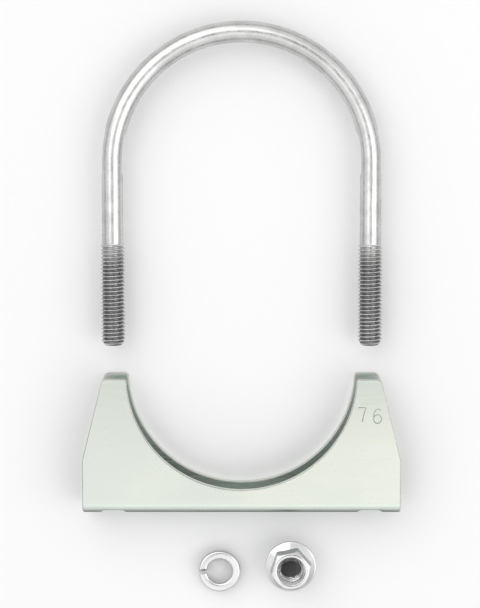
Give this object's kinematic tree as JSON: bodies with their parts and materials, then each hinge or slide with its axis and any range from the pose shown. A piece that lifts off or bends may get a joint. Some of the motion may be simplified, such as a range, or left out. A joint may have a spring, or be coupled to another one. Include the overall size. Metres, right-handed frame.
{
  "type": "u-bolt",
  "caption": "Zinc-plated steel U-bolt pipe clamp with a folded saddle, spring lock washers and flange nuts, laid out ready to close round an exhaust pipe.",
  "frame": {"origin": "on the pipe's axis, half way through the saddle", "axes": "+Z along the pipe, out of the saddle's stamped face; +Y from the saddle towards the arch; +X across the legs"},
  "size_m": [0.1052, 0.192, 0.017],
  "materials": {
    "saddle_zinc": "satin zinc plate",
    "rod_zinc": "satin zinc plate",
    "washer_zinc": "bright zinc plate",
    "nut_zinc": "bright zinc plate"
  },
  "bodies": {
    "saddle": {"saddle": "saddle_zinc"},
    "u_bolt": {"u_bolt": "rod_zinc"},
    "lock_washer_left": {"lock_washer_left": "washer_zinc"},
    "lock_washer_right": {"lock_washer_right": "washer_zinc"},
    "flange_nut_left": {"flange_nut_left": "nut_zinc"},
    "flange_nut_right": {"flange_nut_right": "nut_zinc"}
  },
  "joints": [
    {"name": "u_bolt_slide", "type": "slide", "parent": "saddle", "child": "u_bolt", "axis": [0, -1, 0], "range_m": [0, 0.071]},
    {"name": "left_washer_place", "type": "hinge", "parent": "saddle", "child": "lock_washer_left", "pos_m": [-0.00811, -0.02406, -0.02784], "axis": [0.3137, 0.6714, -0.6714], "range_deg": [0, 145.17]},
    {"name": "right_washer_place", "type": "hinge", "parent": "saddle", "child": "lock_washer_right", "pos_m": [0.00723, -0.02615, -0.02825], "axis": [0.2013, -0.6926, 0.6926], "range_deg": [0, 157.24]},
    {"name": "left_nut_place", "type": "hinge", "parent": "saddle", "child": "flange_nut_left", "pos_m": [-0.00706, -0.02815, -0.02935], "axis": [0.1192, 0.7021, -0.7021], "range_deg": [0, 166.41]},
    {"name": "right_nut_place", "type": "hinge", "parent": "saddle", "child": "flange_nut_right", "pos_m": [0.00747, -0.02231, -0.02699], "axis": [0.4053, -0.6464, 0.6464], "range_deg": [0, 135.88]}
  ],
  "couplings": [
    {"joint": "left_washer_place", "follows": "right_washer_place", "ratio": 0.9232},
    {"joint": "right_nut_place", "follows": "left_nut_place", "ratio": 0.81654}
  ]
}
